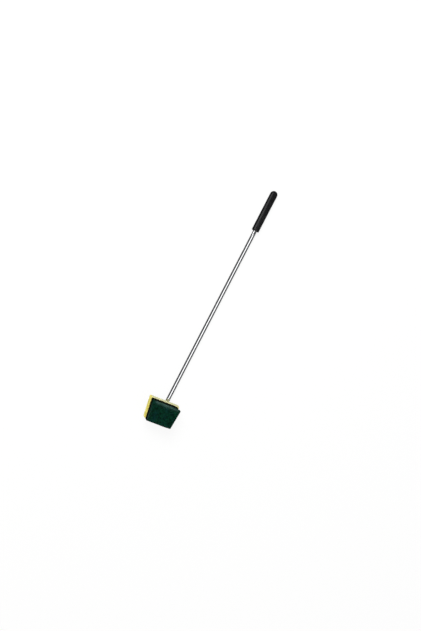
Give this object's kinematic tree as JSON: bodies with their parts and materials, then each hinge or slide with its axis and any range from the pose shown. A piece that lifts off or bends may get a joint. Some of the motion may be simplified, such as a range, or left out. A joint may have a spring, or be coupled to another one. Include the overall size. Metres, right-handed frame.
{
  "type": "window scrubber",
  "caption": "Long chrome tube with a slip-on rubber grip at one end and, at the other, a clamped holder carrying a pull-off layered scouring pad.",
  "frame": {"origin": "on the flat back of the clamp cover that the scrubber lies on, below the tube's centre line and midway along the socket", "axes": "+Z out of the scouring face, +Y along the tube towards the grip, +X to the right when the scouring face is looked at with the grip at the top"},
  "size_m": [0.0757, 0.6263, 0.0582],
  "materials": {
    "chrome": "bright chrome plate",
    "grip_rubber": "smooth soft PVC, satin",
    "nylon": "natural nylon",
    "spring_steel": "oiled spring steel",
    "black_plastic": "moulded, lightly textured",
    "zinc_steel": "zinc plated",
    "hook_tape": "moulded nylon hooks",
    "loop_tape": "brushed nylon loops",
    "yellow_sponge": "open-pored sponge",
    "black_web": "dense non-woven fibre",
    "green_web": "non-woven scouring fibre"
  },
  "bodies": {
    "handle": {"handle_tube": "chrome", "hand_grip": "grip_rubber", "tube_plug": "nylon", "lock_pin": "spring_steel", "holder": "black_plastic", "clamp_cover": "black_plastic", "clamp_screws": "zinc_steel", "hook_sheet": "hook_tape"},
    "pad": {"loop_sheet": "loop_tape", "sponge": "yellow_sponge", "black_pad": "black_web", "green_pad": "green_web"}
  },
  "joints": [
    {"name": "pad_lift", "type": "slide", "parent": "handle", "child": "pad", "axis": [0, 0, 1], "range_m": [0, 0.08]}
  ]
}
